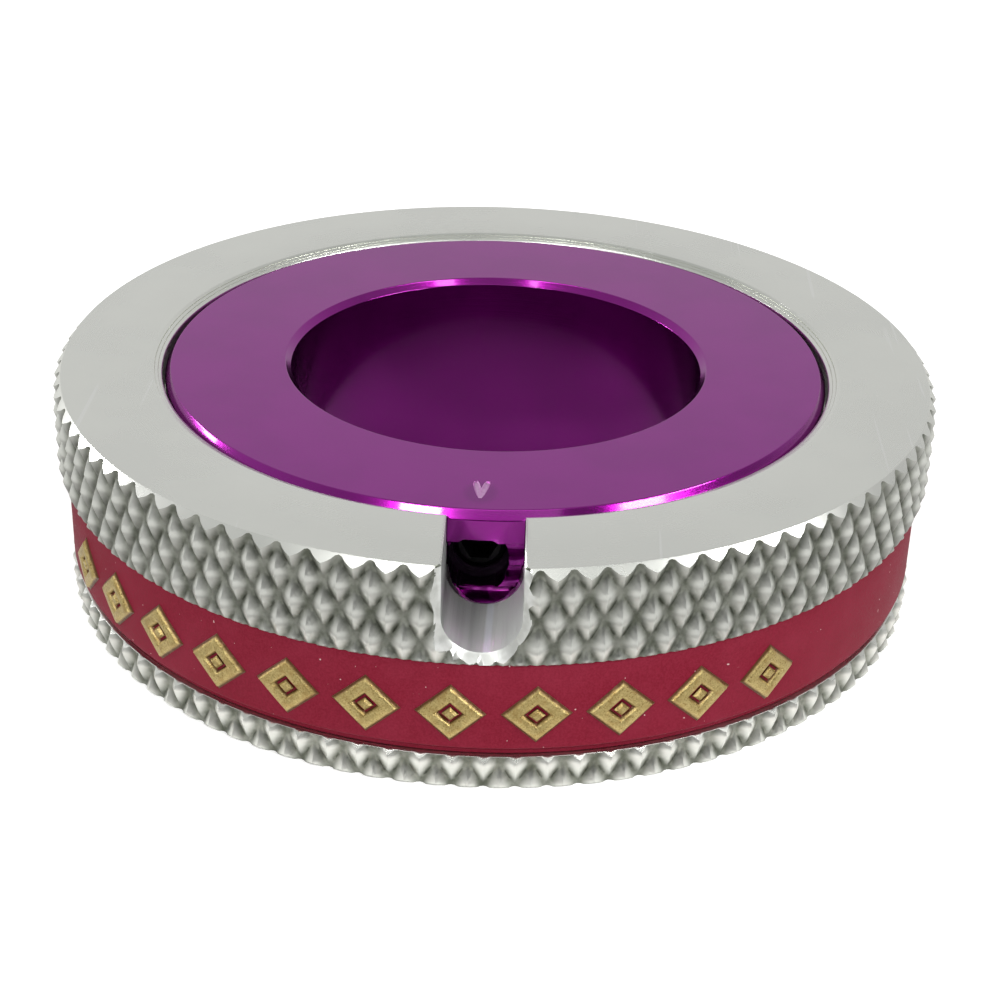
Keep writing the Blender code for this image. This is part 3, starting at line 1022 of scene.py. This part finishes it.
def gilt_paint(surface):
    """Gold paint on the raised figures: grainy on top, with the flanks painted dark brown as shade."""
    f = Finish("gilt_paint", (0.5, 0.38, 0.15), 0.42, 0.75)
    surface_mm = surface / MM
    grain = f.noise(f.position, 9.0, 3.0, 0.7)
    patch = f.noise(f.position, 1.6, 3.0)
    tone = f.mix(f.ramp(grain, 0.3, 0.7), (0.40, 0.29, 0.10), (0.62, 0.50, 0.22))
    tone = f.mix(f.ramp(patch, 0.45, 0.7, 0.0, 0.6), tone, (0.38, 0.25, 0.08))
    # painted shade: the flanks below the top are painted dark brown
    flank_shade = f.ramp(
        f.math("ADD", f.radius, f.math("MULTIPLY", patch, 0.12)),
        surface_mm + FIGURE_RISE / MM - 0.04, surface_mm + FIGURE_RISE / MM - 0.17,
    )
    f.set("Base Color", f.mix(flank_shade, tone, (0.10, 0.035, 0.008)))
    f.set("Metallic", f.math("SUBTRACT", 0.8, f.math("MULTIPLY", flank_shade, 0.4)))
    f.set("Roughness", f.ramp(grain, 0.3, 0.7, 0.26, 0.46))
    f.bump(grain, 0.02, f.bump(patch, 0.07))
    return f.material


def black_rubber():
    """Cord rubber: matt black with a faint mould grain."""
    f = Finish("black_rubber", (0.02, 0.02, 0.02), 0.6, 0.0)
    grain = f.noise(f.position, 8.0, 3.0)
    f.set("Base Color", f.mix(grain, (0.012, 0.012, 0.012), (0.035, 0.034, 0.033)))
    f.set("Roughness", f.ramp(grain, 0.3, 0.7, 0.5, 0.7))
    f.bump(grain, 0.01)
    return f.material


def black_steel():
    """Black oxide on steel."""
    f = Finish("black_steel", (0.02, 0.02, 0.022), 0.5, 0.9)
    grain = f.noise(f.position, 6.0, 3.0)
    f.set("Base Color", f.mix(grain, (0.010, 0.010, 0.011), (0.034, 0.034, 0.036)))
    f.set("Roughness", f.ramp(grain, 0.3, 0.7, 0.42, 0.6))
    f.bump(grain, 0.008)
    return f.material


def brass():
    """Turned brass, a little tarnished."""
    f = Finish("brass", (0.6, 0.43, 0.16), 0.35, 1.0)
    tarnish = f.noise(f.position, 2.0, 3.0)
    f.set("Base Color", f.mix(tarnish, (0.42, 0.28, 0.09), (0.72, 0.53, 0.22)))
    f.set("Roughness", f.ramp(tarnish, 0.3, 0.7, 0.28, 0.44))
    f.bump(f.noise(f.z, 9.0, 2.0), 0.004)
    return f.material


# ---------------------------------------------------------------- assembly

def dress(piece, materials, body, slot, *nodes):
    """Give a piece its materials, the body it rides on and the CAD nodes that it stands for."""
    indices = [polygon.material_index for polygon in piece.data.polygons]
    piece.data.materials.clear()
    for material in materials:
        piece.data.materials.append(material)
    piece.data.polygons.foreach_set("material_index", indices)
    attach(piece, body)
    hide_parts(*nodes)


outer_radius = node_radius("knurled_ring")
band_middle = sum(node_levels("grip_band")) / 2
ring_finishes = (
    turned_aluminium(), knurled_aluminium(outer_radius, band_middle), milled_aluminium(),
    burnished_aluminium(),
)
hub_finishes = (purple_anodised(), hole_wall(), engraved_mark())
gilt = gilt_paint(band_surface())

dress(build_ring(), ring_finishes, "grip", "bare_aluminium", "knurled_ring")
dress(build_band(), (maroon_rubber(),), "grip", "maroon_rubber", "grip_band")
for node in sorted(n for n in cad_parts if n.startswith("gilt_figure")):
    dress(build_figure(node), (gilt,), "grip", "gilt", node)
dress(build_friction_ring(), (black_rubber(),), "friction", "black_rubber", "friction_ring")
dress(build_hub(), hub_finishes, "hub", "purple_anodised", "threaded_hub")
dress(build_screw(), (black_steel(),), "screw", "black_steel", "set_screw")
dress(build_pad(), (brass(),), "pad", "brass", "brass_pad")


# ---------------------------------------------------------------- stage, light, camera

def studio_graph(tree):
    """Whether the shaded ray came from the camera, and whether it is a mirror reflection."""
    path = tree.nodes.new("ShaderNodeLightPath")
    return path.outputs["Is Camera Ray"], path.outputs["Is Glossy Ray"]


def build_stage():
    """A pale floor, which mirror reflections see darker, with painted light and painted shadow in
    rings round the object.
    """
    bpy.ops.mesh.primitive_plane_add(size=FLOOR_WIDTH, location=(0, 0, 0))
    floor = bpy.context.object
    floor.name = "floor"
    material = bpy.data.materials.new("floor")
    material.use_nodes = True
    tree = material.node_tree
    shader = tree.nodes["Principled BSDF"]
    shader.inputs["Roughness"].default_value = 0.7
    camera, glossy = studio_graph(tree)
    place = tree.nodes.new("ShaderNodeNewGeometry")
    distance = tree.nodes.new("ShaderNodeVectorMath")
    distance.operation = "LENGTH"
    tree.links.new(place.outputs["Position"], distance.inputs[0])
    # painted light and painted shadow for reflections, by distance from the axis
    tone = tree.nodes.new("ShaderNodeValToRGB")
    reach = tree.nodes.new("ShaderNodeMapRange")
    reach.inputs["From Max"].default_value = FLOOR_REACH
    tree.links.new(distance.outputs["Value"], reach.inputs["Value"])
    tree.links.new(reach.outputs[0], tone.inputs["Fac"])
    elements = tone.color_ramp.elements
    while len(elements) < len(FLOOR_REFLECTED):
        elements.new(0.5)
    for element, (radius, level) in zip(elements, FLOOR_REFLECTED):
        element.position = radius / FLOOR_REACH
        element.color = (level, level, level * 0.98, 1.0)
    mix = tree.nodes.new("ShaderNodeMix")
    mix.data_type = "RGBA"
    tree.links.new(glossy, mix.inputs["Factor"])
    mix.inputs[MIX_COLOUR_A].default_value = (*FLOOR_SEEN, 1.0)
    tree.links.new(tone.outputs["Color"], mix.inputs[MIX_COLOUR_B])
    tree.links.new(mix.outputs[MIX_COLOUR_OUT], shader.inputs["Base Color"])
    shader.inputs["Emission Color"].default_value = (1.0, 1.0, 1.0, 1.0)
    glow = tree.nodes.new("ShaderNodeMath")
    glow.operation = "MULTIPLY"
    tree.links.new(camera, glow.inputs[0])
    glow.inputs[1].default_value = FLOOR_GLOW
    tree.links.new(glow.outputs[0], shader.inputs["Emission Strength"])
    floor.data.materials.append(material)


def area_light(name, azimuth, elevation, width, height, power):
    """A soft box that faces the object from the given direction, in degrees."""
    light = bpy.data.lights.new(name, "AREA")
    light.energy = power
    light.shape = "RECTANGLE"
    light.size = width
    light.size_y = height
    obj = bpy.data.objects.new(name, light)
    bpy.context.scene.collection.objects.link(obj)
    a, e = math.radians(azimuth), math.radians(elevation)
    d = Vector((math.cos(a) * math.cos(e), math.sin(a) * math.cos(e), math.sin(e)))
    obj.location = d * LAMP_DISTANCE
    obj.rotation_euler = d.to_track_quat("Z", "Y").to_euler()
    return obj


def build_camera():
    radius = node_radius("knurled_ring")
    top = node_levels("knurled_ring")[1]
    forward = Vector((
        math.sin(CAMERA_YAW) * math.cos(CAMERA_PITCH),
        math.cos(CAMERA_YAW) * math.cos(CAMERA_PITCH),
        -math.sin(CAMERA_PITCH),
    ))
    right = Vector((math.cos(CAMERA_YAW), -math.sin(CAMERA_YAW), 0))
    up = right.cross(forward)
    c, s = math.cos(CAMERA_ROLL), math.sin(CAMERA_ROLL)
    right, up = c * right + s * up, c * up - s * right
    axes = Matrix((right, up, -forward)).transposed().to_4x4()
    place = Matrix.Translation((0, -CAMERA_BACK * radius, top + CAMERA_UP * radius))
    data = bpy.data.cameras.new("camera")
    data.sensor_width = SENSOR_WIDTH
    data.lens = CAMERA_FOCAL * SENSOR_WIDTH
    data.clip_start = 0.005
    camera = bpy.data.objects.new("camera", data)
    bpy.context.scene.collection.objects.link(camera)
    camera.matrix_world = Matrix.Rotation(CAMERA_AZIMUTH, 4, "Z") @ place @ axes
    bpy.context.scene.camera = camera


def build_world():
    """Soft studio surroundings: even for diffuse light, brighter behind and above for reflections."""
    world = bpy.data.worlds.new("studio")
    world.use_nodes = True
    bpy.context.scene.world = world
    tree = world.node_tree
    coordinates = tree.nodes.new("ShaderNodeTexCoord")
    split = tree.nodes.new("ShaderNodeSeparateXYZ")
    tree.links.new(coordinates.outputs["Generated"], split.inputs[0])

    def ramp(socket, stops):
        node = tree.nodes.new("ShaderNodeValToRGB")
        scale = tree.nodes.new("ShaderNodeMapRange")
        scale.inputs["From Min"].default_value = -1.0
        tree.links.new(socket, scale.inputs["Value"])
        tree.links.new(scale.outputs[0], node.inputs["Fac"])
        elements = node.color_ramp.elements
        while len(elements) < len(stops):
            elements.new(0.5)
        for element, (place, level) in zip(elements, stops):
            element.position = (place + 1) / 2
            element.color = (level, level, level, 1.0)
        return node.outputs["Color"]

    def mix(factor, a, b):
        node = tree.nodes.new("ShaderNodeMix")
        node.data_type = "RGBA"
        sockets = (node.inputs["Factor"], node.inputs[MIX_COLOUR_A], node.inputs[MIX_COLOUR_B])
        for value, socket in zip((factor, a, b), sockets):
            if isinstance(value, bpy.types.NodeSocket):
                tree.links.new(value, socket)
            else:
                socket.default_value = value
        return node.outputs[MIX_COLOUR_OUT]

    turn = tree.nodes.new("ShaderNodeVectorRotate")
    turn.rotation_type = "Z_AXIS"
    turn.inputs["Angle"].default_value = -HORIZON_TURN
    tree.links.new(coordinates.outputs["Generated"], turn.inputs["Vector"])
    turned_split = tree.nodes.new("ShaderNodeSeparateXYZ")
    tree.links.new(turn.outputs[0], turned_split.inputs[0])
    horizon = ramp(turned_split.outputs["Y"], HORIZON)
    ceiling = ramp(split.outputs["Z"], CEILING_SHARE)
    reflected = mix(ceiling, horizon, (*CEILING_COLOUR, 1.0))
    camera, glossy = studio_graph(tree)
    lit = mix(glossy, (*FILL_COLOUR, 1.0), reflected)
    background = tree.nodes["Background"]
    tree.links.new(mix(camera, lit, (*BACKDROP_COLOUR, 1.0)), background.inputs["Color"])


build_stage()
build_world()
for lamp in LAMPS:
    area_light(*lamp)
build_camera()
bpy.context.scene.view_settings.view_transform = "Standard"
